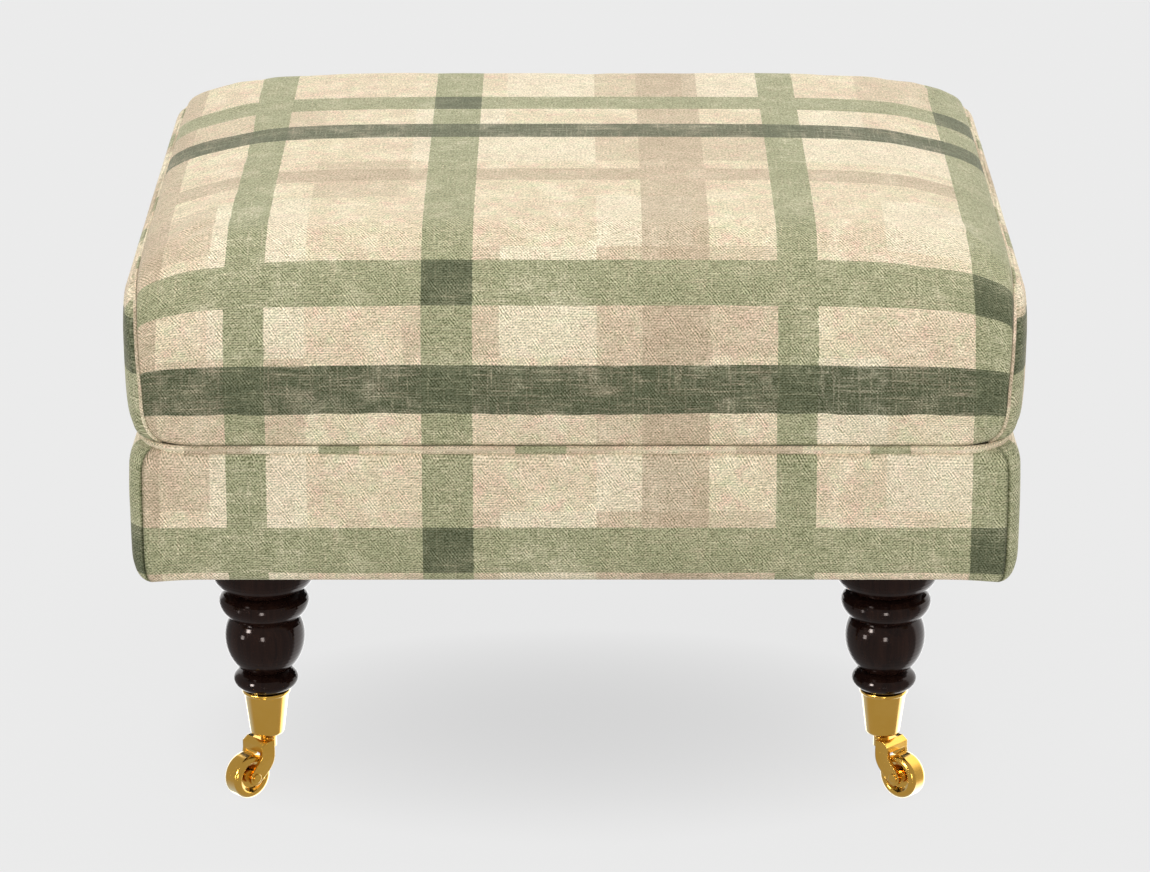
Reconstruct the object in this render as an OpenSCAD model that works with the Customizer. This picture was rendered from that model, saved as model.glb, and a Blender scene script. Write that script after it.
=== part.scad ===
// Upholstered footstool with a deep wrap-over seat pad, a padded base,
// four turned legs and brass cup castors. Millimetres, +Z up.
// The origin is on the floor under the middle of the stool, the front faces -Y.

/* [Base] */
// Width over the padded base
base_w = 664; // [560:1:900]
// Depth over the padded base
base_d = 580; // [480:1:760]
// Height of the frame rails
rail_h = 102; // [80:0.5:130]
// Thickness of the frame rails
rail_t = 25; // [20:1:32]
// Thickness of the padded border outside the rails
border_t = 14; // [10:1:18]
// Height of the rolled lower edge of the border
border_roll_h = 27; // [14:1:32]
// How far the border swells between its edges
border_swell = 1.5; // [0:0.5:4]
// Diameter of the piping between pad and base
joint_piping_d = 6.2; // [4:0.2:8]
// Distance from the face of the border to the outside of that piping
joint_piping_inset = 3.5; // [3:0.5:6]

/* [Deck] */
// Width of one webbing strap
web_w = 50; // [40:1:60]
// Thickness of one webbing strap
web_t = 1.2; // [1:0.1:2]
// Straps that run from side to side
web_rows = 5; // [4:1:6]
// Straps that run from front to back
web_cols = 6; // [4:1:7]
// Thickness of the hessian over the webbing
hessian_t = 0.8; // [0.6:0.1:1.5]
// Thickness of the dust cover under the frame
dust_cover_t = 1; // [0.8:0.1:2]

/* [Pad] */
// How far the pad swells beyond the base at the front and back
pad_over = 2.5; // [0:0.5:5]
// Distance from the side of the base to the plane of the side seam
seam_inset = 7; // [5:0.5:12]
// Height of the pad above the piping, in the middle
pad_h = 153; // [130:1:190]
// Height of the side seam above the piping
seam_h = 113; // [95:1:125]
// Radius of the pad's front and back top edges, in the middle
pad_edge_r = 92; // [70:1:110]
// Radius of the side seam's top corners
seam_r = 66; // [45:1:80]
// Crown of the pad from front to back
pad_crown = 5; // [0:1:10]
// How far the pad is drawn in where it meets the base
pad_draw = 6; // [3:1:10]
// How squarely the top runs out before it rolls down to the side seam
roll_power = 4.6; // [3.6:0.1:8]
// How far the side panels swell beyond their seams
side_swell = 14.5; // [8:0.5:20]
// Thickness of the pad's cover with its wadding
cover_t = 8; // [5:1:12]
// Diameter of the piping in the side seams
seam_piping_d = 3; // [2:0.2:4]

/* [Legs] */
// Height of a leg from the floor of its cup to the base
leg_h = 145; // [130:1:190]
// Distance from the leg's axis to the side of the base
leg_inset_x = 94; // [80:0.5:120]
// Distance from the leg's axis to the front or back of the base
leg_inset_y = 56; // [50:1:90]
// Greatest radius of the ring above the castor
ring_r = 24.9; // [22:0.1:28]
// Greatest radius of the ball
ball_r = 30.8; // [27:0.1:34]
// Greatest radius of the bead under the flare
bead_r = 34.5; // [32:0.1:38]
// Radius of the leg's flared top
flare_r = 39.5; // [37:0.1:44]
// Diameter of the hanger bolt in the top of the leg
bolt_d = 8; // [6:1:10]
// Length of the hanger bolt
bolt_len = 80; // [70:1:90]

/* [Castors] */
// Diameter of the brass wheel
wheel_d = 35; // [30:1:36]
// Width of the wheel
wheel_w = 16; // [14:0.5:20]
// Distance from the swivel axis to the axle
trail = 21.5; // [18:0.5:24]
// Angle that the castors trail outwards, from the front or back
trail_angle = 45; // [0:1:90]
// Diameter of the axle
axle_d = 5; // [4:0.2:6]
// Thickness of the horn's arms
arm_t = 3; // [2.4:0.1:4]
// Thickness of the horn's crown
crown_t = 8; // [7:0.5:10]
// Height of the collar between horn and cup
collar_h = 3; // [2:0.5:4]
// Diameter of the swivel pin
pin_d = 5; // [4:0.2:6]
// Height of the cup
cup_h = 37; // [28:1:40]
// Radius of the cup at its rim
cup_rim_r = 17.6; // [16:0.1:20]
// Radius of the cup at its foot
cup_foot_r = 13; // [12:0.1:15]
// Thickness of the cup's wall
cup_wall = 1.5; // [1.2:0.1:2]

/* [Fits] */
// Radial clearance of the parts that turn on each other
run_clear = 0.06; // [0.02:0.01:0.1]
// Clearance of the fixed parts in their holes
fix_clear = 0.04; // [0.02:0.01:0.1]
// Gap between a soft piece and its neighbour
soft_gap = 0.15; // [0.1:0.05:0.3]
// Gap along the axis between parts that turn on each other
end_gap = 0.15; // [0.1:0.05:0.3]

/* [Hidden] */

// Corners in the order front left, front right, back left, back right
front_left = [-1, -1];
front_right = [1, -1];
back_left = [-1, 1];
back_right = [1, 1];
corners = [front_left, front_right, back_left, back_right];

// Heights, from the floor up
axle_z = wheel_d / 2;
wheel_gap = 1.2;
horn_z = wheel_d + wheel_gap + crown_t;
cup_z = horn_z + end_gap + collar_h;
base_z = cup_z + leg_h;
deck_z = base_z + rail_h;
hessian_z = deck_z + 2 * web_t;
foam_z = hessian_z + hessian_t + soft_gap;
border_over = 1;
border_h = rail_h + border_over;
joint_z = base_z + border_h + soft_gap + joint_piping_d / 2;
pad_z = joint_z + joint_piping_d / 2 + soft_gap;

// Plan of the frame
frame_x = base_w / 2 - border_t;
frame_y = base_d / 2 - border_t;
leg_x = base_w / 2 - leg_inset_x;
leg_y = base_d / 2 - leg_inset_y;

// Cloths and fixings
wood = "#d9b98a";
dark_wood = "#2a1a17";
brass = "#c9a040";
steel = "#b4b4b8";
cloth = "#cdbd9c";
cloth_edge = "#b9aa88";

// Points of a quarter turn of an ellipse, from angle a to angle b
function ellipse(cx, cy, rx, ry, a, b, n) =
  [for (i = [0:n]) let (t = a + (b - a) * i / n) [cx + rx * cos(t), cy + ry * sin(t)]];

// Frame

module rail_along_x(side) {
  color(wood)
    translate([-frame_x, side > 0 ? frame_y - rail_t : -frame_y, base_z])
      difference() {
        cube([2 * frame_x, rail_t, rail_h]);
        translate([frame_x, side > 0 ? rail_t - frame_y : frame_y, -base_z]) dowel_holes();
      }
}

module rail_along_y(side) {
  color(wood)
    difference() {
      translate([side > 0 ? frame_x - rail_t : -frame_x, rail_t - frame_y, base_z])
        cube([rail_t, 2 * (frame_y - rail_t), rail_h]);
      dowel_holes();
    }
}

// Dowels: two in each corner joint, level with the thirds of the rail
dowel_d = 10;
dowel_len = 50;
dowel_end_gap = 1;
dowel_depth = 18;

module dowel_row(d, extra) {
  for (c = corners, k = [1, 2])
    translate([c.x * (frame_x - rail_t / 2), c.y * (frame_y - rail_t), base_z + k * rail_h / 3])
      rotate([c.y * 90, 0, 0])
        translate([0, 0, -dowel_depth - extra])
          cylinder(h = dowel_len + 2 * extra, d = d, $fn = 32);
}

module dowel_holes() {
  dowel_row(dowel_d + 2 * fix_clear, dowel_end_gap);
}

module rail_dowels() {
  color(wood) dowel_row(dowel_d, 0);
}

// Corner blocks carry the legs, each with a tee nut let into its top
block_h = 45;
block_in = 44;
block_gap = fix_clear;
nut_barrel_d = bolt_d + 4;
nut_flange_d = bolt_d + 14;
nut_flange_t = 1.6;
nut_len = 14;
bolt_in_leg = 34;

module corner_blocks() {
  color(wood)
    for (c = corners)
      difference() {
        corner_block(c);
        translate([c.x * leg_x, c.y * leg_y, base_z - 1]) {
          cylinder(h = block_h + 2, d = bolt_d + 4 * fix_clear, $fn = 48);
          translate([0, 0, block_h + 1 - nut_len]) cylinder(h = nut_len + 1, d = nut_barrel_d + 2 * fix_clear, $fn = 48);
        }
      }
}

module corner_block(c) {
  x0 = leg_x - block_in;
  x1 = frame_x - rail_t - block_gap;
  y0 = leg_y - block_in;
  y1 = frame_y - rail_t - block_gap;
  translate([c.x > 0 ? x0 : -x1, c.y > 0 ? y0 : -y1, base_z]) cube([x1 - x0, y1 - y0, block_h]);
}

module leg_bolts() {
  color(steel)
    for (c = corners)
      translate([c.x * leg_x, c.y * leg_y, base_z - bolt_in_leg])
        cylinder(h = bolt_len, d = bolt_d, $fn = 48);
}

module leg_tee_nuts() {
  color(steel)
    for (c = corners)
      translate([c.x * leg_x, c.y * leg_y, base_z + block_h])
        difference() {
          union() {
            translate([0, 0, -nut_len]) cylinder(h = nut_len, d = nut_barrel_d, $fn = 48);
            cylinder(h = nut_flange_t, d = nut_flange_d, $fn = 48);
          }
          translate([0, 0, -nut_len - 1])
            cylinder(h = nut_len + nut_flange_t + 2, d = bolt_d + 2 * fix_clear, $fn = 48);
        }
}

// Deck and dust cover

module webbing_lengthwise() {
  pitch = 2 * (frame_y - rail_t) / web_rows;
  color("#9c7b4f")
    for (i = [0:web_rows - 1])
      translate([-frame_x, (i - (web_rows - 1) / 2) * pitch - web_w / 2, deck_z])
        cube([2 * frame_x, web_w, web_t]);
}

module webbing_crosswise() {
  pitch = 2 * (frame_x - rail_t) / web_cols;
  color("#8a6b43")
    for (i = [0:web_cols - 1])
      translate([(i - (web_cols - 1) / 2) * pitch - web_w / 2, -frame_y, deck_z + web_t])
        cube([web_w, 2 * frame_y, web_t]);
}

// The hessian is turned back short of the edge of the frame
hessian_margin = 6;

module hessian() {
  color("#b59a6a")
    translate([hessian_margin - frame_x, hessian_margin - frame_y, hessian_z])
      cube([2 * (frame_x - hessian_margin), 2 * (frame_y - hessian_margin), hessian_t]);
}

dust_margin = 4;

module dust_cover() {
  color("#1d1d1f")
    difference() {
      translate([dust_margin - frame_x, dust_margin - frame_y, base_z - dust_cover_t])
        cube([2 * (frame_x - dust_margin), 2 * (frame_y - dust_margin), dust_cover_t]);
      for (c = corners)
        translate([c.x * leg_x, c.y * leg_y, base_z - dust_cover_t - 1])
          cylinder(h = dust_cover_t + 2, r = flare_r + soft_gap, $fn = 96);
    }
}

// Padded base borders

// Section of a border: x outwards from the rail, y upwards from its lower edge
roll_in = border_t - 2;
top_in = 6;
top_h = 9;

function border_section() = concat(
  [[0, 0]],
  ellipse(border_t - roll_in, border_roll_h, roll_in, border_roll_h, -90, 0, 8),
  [for (i = [1:5]) let (t = i / 6)
    [border_t + border_swell * sin(180 * t), border_roll_h + (border_h - top_h - border_roll_h) * t]],
  ellipse(border_t - top_in, border_h - top_h, top_in, top_h, 0, 90, 6),
  [[0, border_h]]
);

module border_straight(len) {
  rotate([90, 0, 90])
    linear_extrude(height = len, center = true)
      polygon(border_section());
}

module border_along_x(side) {
  color(cloth)
    translate([0, side * frame_y, base_z])
      rotate([0, 0, side > 0 ? 0 : 180])
        border_straight(2 * frame_x);
}

// The side borders turn both corners, so the seams lie on the front and back
module border_along_y(side) {
  color(cloth)
    translate([side * frame_x, 0, base_z])
      rotate([0, 0, side > 0 ? -90 : 90]) {
        border_straight(2 * frame_y);
        for (e = [-1, 1])
          translate([e * frame_y, 0, 0])
            rotate([0, 0, e > 0 ? 0 : 90])
              rotate_extrude(angle = 90, $fn = 96)
                polygon(border_section());
      }
}

// Piping between pad and base: straight runs joined by quarter turns
joint_x = base_w / 2 - joint_piping_inset - joint_piping_d / 2;
joint_y = base_d / 2 - joint_piping_inset - joint_piping_d / 2;
joint_corner_extra = 6;
joint_corner_r = border_t - joint_piping_inset - joint_piping_d / 2 + joint_corner_extra;

module joint_piping() {
  color(cloth_edge)
    translate([0, 0, joint_z])
      piped_loop(joint_x, joint_y, joint_corner_r, joint_piping_d);
}

module piped_loop(x, y, r, d) {
  for (s = [-1, 1]) {
    translate([r - x, s * y, 0]) rotate([0, 90, 0]) cylinder(h = 2 * (x - r), d = d, $fn = 32);
    translate([s * x, y - r, 0]) rotate([90, 0, 0]) cylinder(h = 2 * (y - r), d = d, $fn = 32);
  }
  for (c = corners)
    translate([c.x * (x - r), c.y * (y - r), 0])
      rotate([0, 0, c.y > 0 ? (c.x > 0 ? 0 : 90) : (c.x > 0 ? 270 : 180)])
        quarter_tube(r, d);
}

module quarter_tube(r, d) {
  rotate_extrude(angle = 90, $fn = 96) translate([r, 0]) circle(d = d, $fn = 32);
}

// Seat pad

seam_x = base_w / 2 - seam_inset;
pad_y = base_d / 2 + pad_over;
seam_y = pad_y - pad_draw;
seam_z = pad_z + seam_h;
top_z = pad_z + pad_h;

// Rows of points round the pad's outline from the front edge over the top to the back
front_n = 4;
arc_n = 7;
top_n = 6;
half_stations = 8;

// Outline of a section through the pad: half depth, foot, top, corner radius, draw
function outline(a, z0, z1, r, draw, crown) =
  let (half = concat(
    [for (i = [0:front_n]) let (t = i / front_n) [a - draw * (1 - sin(90 * t)), z0 + (z1 - r - z0) * t]],
    ellipse(a - r, z1 - r, r, r, 90 / arc_n, 90, arc_n - 1),
    [for (k = [1:top_n / 2]) [(a - r) * (1 - 2 * k / top_n), z1]]))
  let (crowned = [for (p = half) [p[0], p[1] + crown * (1 - pow(p[0] / a, 2)) * (p[1] - z0) / (z1 - z0)]])
  let (last = len(crowned) - 1)
  concat([for (p = crowned) [-p[0], p[1]]], [for (i = [1:last]) crowned[last - i]]);

// Stations across the pad: [x, height share], from the left seam to the right one
roll_share = 0.28;
function share(r) = pow(max(0, 1 - pow(r, roll_power)), roll_share);
function stations(x) =
  [for (i = [-half_stations:half_stations])
    let (r = 1 - pow(1 - abs(i) / half_stations, 2)) [sign(i) * r * x, share(r)]];

// Rows of 3-D points of the pad's surface, drawn in by an inset
function pad_rows(x, inset, z0) =
  let (side = outline(seam_y - inset, z0, seam_z - inset, seam_r - inset, 0, 0))
  let (middle = outline(pad_y - inset, z0, top_z - pad_crown - inset, pad_edge_r - inset, pad_draw, pad_crown))
  [for (s = stations(x)) [for (k = [0:len(side) - 1])
    let (p = side[k] + (middle[k] - side[k]) * s[1]) [s[0], p[0], p[1]]]];

function flat_list(rows) = [for (row = rows, p = row) p];

// Triangles of a grid of m rows of n points, first point at index o
function grid_faces(m, n, o, flip) =
  [for (i = [0:m - 2], k = [0:n - 2], h = [0, 1])
    let (a = o + i * n + k, b = a + 1, c = a + n + 1, d = a + n)
    let (t = h == 0 ? [a, b, c] : [a, c, d])
    flip ? [t[2], t[1], t[0]] : t];

// Triangles that join two strips of equal length
function strip_faces(p, q, flip) =
  [for (i = [0:len(p) - 2], h = [0, 1])
    let (t = h == 0 ? [p[i], p[i + 1], q[i + 1]] : [p[i], q[i + 1], q[i]])
    flip ? [t[2], t[1], t[0]] : t];

// Closed skin between two grids of m rows of n points
module skin(outer, inner) {
  m = len(outer);
  n = len(outer[0]);
  o = m * n;
  first = [for (k = [0:n - 1]) k];
  last = [for (k = [0:n - 1]) (m - 1) * n + k];
  low = [for (i = [0:m - 1]) i * n];
  high = [for (i = [0:m - 1]) i * n + n - 1];
  polyhedron(
    points = concat(flat_list(outer), flat_list(inner)),
    faces = concat(
      grid_faces(m, n, 0, false),
      grid_faces(m, n, o, true),
      strip_faces(first, [for (k = first) k + o], true),
      strip_faces(last, [for (k = last) k + o], false),
      strip_faces(low, [for (k = low) k + o], false),
      strip_faces(high, [for (k = high) k + o], true)));
}

// The piping sits in a rabbet at the seam, so the panels stop short of it
seam_rabbet = seam_piping_d / 2 + 2 * soft_gap / 3;
panel_end_x = seam_x - seam_rabbet;

module pad_wrap_cover() {
  color(cloth)
    skin(pad_rows(panel_end_x, 0, pad_z), pad_rows(panel_end_x, cover_t, pad_z));
}

// The foam's foot drops to the hessian, set in from the piping round the pad
foam_foot_gap = 4;
foam_foot_x = joint_x - joint_piping_d / 2 - foam_foot_gap;
foam_foot_y = min(seam_y - cover_t, joint_y - joint_piping_d / 2) - foam_foot_gap;

module pad_foam() {
  outer = pad_rows(panel_end_x, cover_t + soft_gap, pad_z);
  // Each row gains a ledge under the cover and a foot below the ledge, at both ends
  function foot(row, side, z) = [row[0].x * foam_foot_x / panel_end_x, side * foam_foot_y, z];
  rows = [for (row = outer) concat(
    [foot(row, -1, foam_z), foot(row, -1, pad_z)], row, [foot(row, 1, pad_z), foot(row, 1, foam_z)])];
  m = len(rows);
  n = len(rows[0]);
  low = [for (i = [0:m - 1]) i * n];
  high = [for (i = [0:m - 1]) i * n + n - 1];
  // Each end is a fan of triangles round its own hub
  hub_z = (pad_z + seam_z) / 2;
  left_hub = m * n;
  right_hub = left_hub + 1;
  color("#e9dfae")
    polyhedron(
      points = concat(flat_list(rows), [[-panel_end_x, 0, hub_z], [panel_end_x, 0, hub_z]]),
      faces = concat(
        grid_faces(m, n, 0, false),
        strip_faces(low, high, false),
        [for (k = [0:n - 1]) [left_hub, (k + 1) % n, k]],
        [for (k = [0:n - 1]) [right_hub, (m - 1) * n + k, (m - 1) * n + (k + 1) % n]]));
}

// Side panels: columns from the foot up to the seam, swelling outwards
panel_cols = 22;
panel_rows = 7;
panel_edge = 1.2;

module pad_side(side) {
  inset = seam_rabbet + seam_piping_d / 2 + soft_gap;
  a = seam_y - inset;
  r = seam_r - inset;
  z1 = seam_z - inset;
  ys = concat(
    [for (i = [0:5]) -a + r * (1 - cos(15 * i))],
    [for (i = [0:10]) (r - a) * (1 - i / 5)],
    [for (i = [0:5]) a - r * (1 - cos(75 - 15 * i))]);
  // Height of the panel at a distance y from the middle
  function rise(y) = abs(y) <= a - r ? z1 : z1 - r + sqrt(max(0, r * r - pow(abs(y) - a + r, 2)));
  // Full in the middle, flat at the seam and at the foot
  function swell(y, t) =
    side_swell * sqrt((1 - pow(abs(y) / a, 8)) * (1 - pow(1 - t, 4)) * (1 - pow(t, 12)));
  function column(y, out) = [for (j = [0:panel_rows])
    let (t = (1 - cos(180 * j / panel_rows)) / 2)
    [side * (panel_end_x + soft_gap / 2 + out * (panel_edge + swell(y, t))), y, pad_z + (rise(y) - pad_z) * t]];
  outer = [for (y = ys) column(y, 1)];
  inner = [for (y = ys) column(y, 0)];
  color(cloth)
    if (side > 0) skin(outer, inner);
    else skin(inner, outer);
}

// Piping of a side seam: up the front edge, along the top and down the back
module seam_piping(side) {
  inset = seam_piping_d / 2 + soft_gap / 3;
  y = seam_y - inset;
  z = seam_z - inset;
  r = seam_r - inset;
  color(cloth_edge)
    translate([side * seam_x, 0, 0]) {
      for (s = [-1, 1])
        translate([0, s * y, pad_z]) cylinder(h = z - r - pad_z, d = seam_piping_d, $fn = 24);
      translate([0, y - r, z]) rotate([90, 0, 0]) cylinder(h = 2 * (y - r), d = seam_piping_d, $fn = 24);
      for (s = [-1, 1])
        translate([0, s * (y - r), z - r])
          rotate([0, -90, s > 0 ? 0 : 180])
            quarter_tube(r, seam_piping_d);
    }
}

// Turned legs

// Heights of the turned members above the foot of the leg
ring_h = 16;
ball_h = 44;
bead_h = 21.6;
flare_h = 16.4;
ring_neck = 17;
ball_neck = 26;
bead_neck = 25.5;
turn_start = 32;
bead_turn_start = 60;

// Curve of a swelling member, out from a neck or in to it: the later its start, the flatter it is
function swell_out(z0, r0, z1, r1, n, start = turn_start) =
  [for (i = [0:n]) let (t = start + (90 - start) * i / n)
    [r0 + (r1 - r0) * (sin(t) - sin(start)) / (1 - sin(start)),
     z1 - (z1 - z0) * cos(t) / cos(start)]];
function swell_in(z0, r0, z1, r1, n) =
  let (up = swell_out(-z1, r1, -z0, r0, n)) [for (i = [0:n]) [up[n - i][0], -up[n - i][1]]];

foot_gap = fix_clear;
cup_floor = 2;
pin_head_t = 2;
foot_z0 = cup_z + cup_floor + pin_head_t + 0.3;
cup_top = cup_z + cup_h;
ring_top = cup_top + ring_h;
ball_top = ring_top + ball_h;
bead_top = ball_top + bead_h;
flare_top = bead_top + flare_h;

function cup_r(z) = cup_foot_r + (cup_rim_r - cup_foot_r) * (z - cup_z) / cup_h;
function foot_r(z) = cup_r(z) - cup_wall - foot_gap;

function leg_section() = concat(
  [[0, foot_z0], [foot_r(foot_z0), foot_z0]],
  swell_out(cup_top + foot_gap, foot_r(cup_top), cup_top + 0.55 * ring_h, ring_r, 7),
  swell_in(cup_top + 0.55 * ring_h, ring_r, ring_top, ring_neck, 6),
  swell_out(ring_top, ring_neck, ring_top + 0.64 * ball_h, ball_r, 10),
  swell_in(ring_top + 0.64 * ball_h, ball_r, ball_top, ball_neck, 6),
  swell_out(ball_top, ball_neck, ball_top + 0.62 * bead_h, bead_r, 7, bead_turn_start),
  swell_in(ball_top + 0.62 * bead_h, bead_r, bead_top, bead_neck, 5),
  swell_out(bead_top, bead_neck, flare_top, flare_r, 7),
  [[flare_r, base_z], [0, base_z]]
);

module at_leg(c) {
  translate([c.x * leg_x, c.y * leg_y, 0]) children();
}

module leg(c) {
  color(dark_wood)
    at_leg(c)
      difference() {
        rotate_extrude($fn = 96) polygon(leg_section());
        translate([0, 0, base_z - bolt_in_leg - 1])
          cylinder(h = bolt_in_leg + 2, d = bolt_d + 2 * fix_clear, $fn = 48);
        turned_outwards(c) cup_screw(fix_clear);
      }
}

// Castors

// Turns a castor so that its own +X points the way it trails
module turned_outwards(c) {
  rotate([0, 0, atan2(c.y * cos(trail_angle), c.x * sin(trail_angle))]) children();
}

lip_r = 1.2;
lip_h = 3.2;

function cup_section() = concat(
  [[pin_d / 2 + fix_clear, cup_z], [cup_foot_r - 1.4, cup_z], [cup_foot_r - 0.4, cup_z + 0.5]],
  [[cup_r(cup_z + 1.6), cup_z + 1.6], [cup_r(cup_top - lip_h), cup_top - lip_h]],
  ellipse(cup_rim_r, cup_top - lip_h / 2, lip_r, lip_h / 2, -60, 90, 6),
  [[cup_rim_r - cup_wall, cup_top], [cup_r(cup_z + cup_floor) - cup_wall, cup_z + cup_floor]],
  [[pin_d / 2 + fix_clear, cup_z + cup_floor]]
);

module cup(c) {
  color(brass)
    at_leg(c)
      difference() {
        rotate_extrude($fn = 96) polygon(cup_section());
        turned_outwards(c) cup_screw(fix_clear);
      }
}

// One round-headed screw through the wall of the cup, on the side away from the wheel
screw_z = 0.6;
screw_d = 3;
screw_len = 11;
screw_head_d = 5.6;
screw_head_t = 1.6;

module cup_screw(gap) {
  z = cup_z + screw_z * cup_h;
  lean = atan((cup_rim_r - cup_foot_r) / cup_h);
  translate([-cup_r(z), 0, z])
    rotate([0, -90 - lean, 0])
      if (gap > 0) {
        translate([0, 0, -screw_len - 1]) cylinder(h = screw_len + 3, d = screw_d + 2 * gap, $fn = 32);
      } else {
        translate([0, 0, -screw_len]) cylinder(h = screw_len + 0.4, d = screw_d, $fn = 32);
        translate([0, 0, 0.3])
          rotate_extrude($fn = 48)
            polygon(concat([[0, 0]], ellipse(0, 0, screw_head_d / 2, screw_head_t, 0, 90, 6)));
      }
}

module cup_screws() {
  color(brass)
    for (c = corners)
      at_leg(c) turned_outwards(c) cup_screw(0);
}

// Swivel pin, with one head in the cup and one under the crown of the horn
pin_head_d = pin_d + 5;
rivet_d = pin_d + 3;
rivet_t = 1.2;
crown_z = horn_z - crown_t;

module swivel_pins() {
  color(brass)
    for (c = corners)
      at_leg(c) {
        z0 = crown_z - end_gap - rivet_t;
        translate([0, 0, z0]) cylinder(h = rivet_t, d = rivet_d, $fn = 48);
        translate([0, 0, z0]) cylinder(h = cup_z + cup_floor - z0, d = pin_d, $fn = 48);
        translate([0, 0, cup_z + cup_floor]) cylinder(h = pin_head_t, d = pin_head_d, $fn = 48);
      }
}

collar_d = 11;

module swivel_collars() {
  color(brass)
    for (c = corners)
      at_leg(c)
        translate([0, 0, horn_z + end_gap])
          difference() {
            cylinder(h = collar_h, d = collar_d, $fn = 48);
            translate([0, 0, -1]) cylinder(h = collar_h + 2, d = pin_d + 2 * fix_clear, $fn = 48);
          }
}

// Horn: a crown with a boss round the swivel pin, and two swept arms
side_gap = 0.5;
fork_w = wheel_w + 2 * (side_gap + arm_t);
arm_x0 = 2.8;
arm_x1 = 15.6;
arm_end_r = 6;
crown_chamfer_x = 5;
crown_chamfer_z = 3;
boss_r = 7;

// Cubic curve between two points
function curve(p0, p1, p2, p3, n) =
  [for (i = [0:n]) let (t = i / n, s = 1 - t)
    s * s * s * p0 + 3 * s * s * t * p1 + 3 * s * t * t * p2 + t * t * t * p3];

function arm_outline() = concat(
  [[arm_x0, horn_z]],
  curve([arm_x0, crown_z - 3], [arm_x0, crown_z - 11], [trail - 14, axle_z + 3],
        [trail - arm_end_r * cos(30), axle_z - arm_end_r * sin(30)], 9),
  ellipse(trail, axle_z, arm_end_r, arm_end_r, 215, 400, 14),
  curve([trail + arm_end_r * cos(45), axle_z + arm_end_r * sin(45)], [trail + 1, axle_z + 10],
        [arm_x1, crown_z - 8], [arm_x1, crown_z - 1], 8),
  [[arm_x1, horn_z - crown_chamfer_z], [arm_x1 - crown_chamfer_x, horn_z]]
);

module horn(c) {
  color(brass)
    at_leg(c)
      turned_outwards(c)
        difference() {
          union() {
            translate([0, 0, crown_z]) cylinder(h = crown_t, r = boss_r, $fn = 64);
            translate([0, fork_w / 2, 0])
              rotate([90, 0, 0])
                linear_extrude(height = fork_w) polygon(arm_outline());
          }
          translate([-1, arm_t - fork_w / 2, -1])
            cube([trail + wheel_d, fork_w - 2 * arm_t, crown_z + 1]);
          translate([0, 0, crown_z - 1]) cylinder(h = crown_t + 2, d = pin_d + 2 * run_clear, $fn = 48);
          translate([trail, fork_w / 2 + 1, axle_z])
            rotate([90, 0, 0]) cylinder(h = fork_w + 2, d = axle_d + 2 * fix_clear, $fn = 48);
        }
}

axle_head_d = axle_d + 2.4;
axle_head_t = 0.9;

module axle(c) {
  color(brass)
    at_leg(c)
      turned_outwards(c)
        translate([trail, 0, axle_z])
          rotate([90, 0, 0]) {
            cylinder(h = fork_w, d = axle_d, center = true, $fn = 48);
            for (s = [-1, 1])
              translate([0, 0, s * (fork_w + axle_head_t) / 2])
                cylinder(h = axle_head_t, d = axle_head_d, center = true, $fn = 48);
          }
}

// Wheel: rounded tread, rim, dished faces and a hub
tread_r = 3.5;
rim_r = 12;
rim_edge = 0.8;
dish = 2.6;
hub_r = 4.8;
recess = 3.4;

function wheel_half() = [
  [axle_d / 2 + run_clear, 0],
  [axle_d / 2 + run_clear, wheel_w / 2],
  [hub_r, wheel_w / 2],
  [hub_r + 0.6, wheel_w / 2 - recess],
  [rim_r - dish, wheel_w / 2 - recess],
  [rim_r, wheel_w / 2 - 0.4],
  [rim_r + rim_edge, wheel_w / 2]
];

function wheel_section() =
  let (half = concat(wheel_half(), ellipse(wheel_d / 2 - tread_r, wheel_w / 2 - tread_r, tread_r, tread_r, 90, 0, 8)))
  let (last = len(half) - 1)
  concat(half, [for (i = [0:last - 1]) [half[last - i][0], -half[last - i][1]]]);

module wheel(c) {
  color(brass)
    at_leg(c)
      turned_outwards(c)
        translate([trail, 0, axle_z])
          rotate([90, 0, 0])
            rotate_extrude($fn = 96) polygon(wheel_section());
}

rail_along_x(-1);  // rail_front
rail_along_x(1);  // rail_back
rail_along_y(-1);  // rail_left
rail_along_y(1);  // rail_right
corner_blocks();
rail_dowels();
leg_bolts();
leg_tee_nuts();
webbing_lengthwise();
webbing_crosswise();
hessian();
dust_cover();
pad_foam();
pad_wrap_cover();
pad_side(-1);  // pad_side_left
pad_side(1);  // pad_side_right
seam_piping(-1);  // seam_piping_left
seam_piping(1);  // seam_piping_right
joint_piping();
border_along_x(-1);  // border_front
border_along_x(1);  // border_back
border_along_y(-1);  // border_left
border_along_y(1);  // border_right
leg(front_left);  // leg_front_left
leg(front_right);  // leg_front_right
leg(back_left);  // leg_back_left
leg(back_right);  // leg_back_right
cup(front_left);  // cup_front_left
cup(front_right);  // cup_front_right
cup(back_left);  // cup_back_left
cup(back_right);  // cup_back_right
cup_screws();
swivel_pins();
swivel_collars();
horn(front_left);  // horn_front_left
horn(front_right);  // horn_front_right
horn(back_left);  // horn_back_left
horn(back_right);  // horn_back_right
axle(front_left);  // axle_front_left
axle(front_right);  // axle_front_right
axle(back_left);  // axle_back_left
axle(back_right);  // axle_back_right
wheel(front_left);  // wheel_front_left
wheel(front_right);  // wheel_front_right
wheel(back_left);  // wheel_back_left
wheel(back_right);  // wheel_back_right
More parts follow.
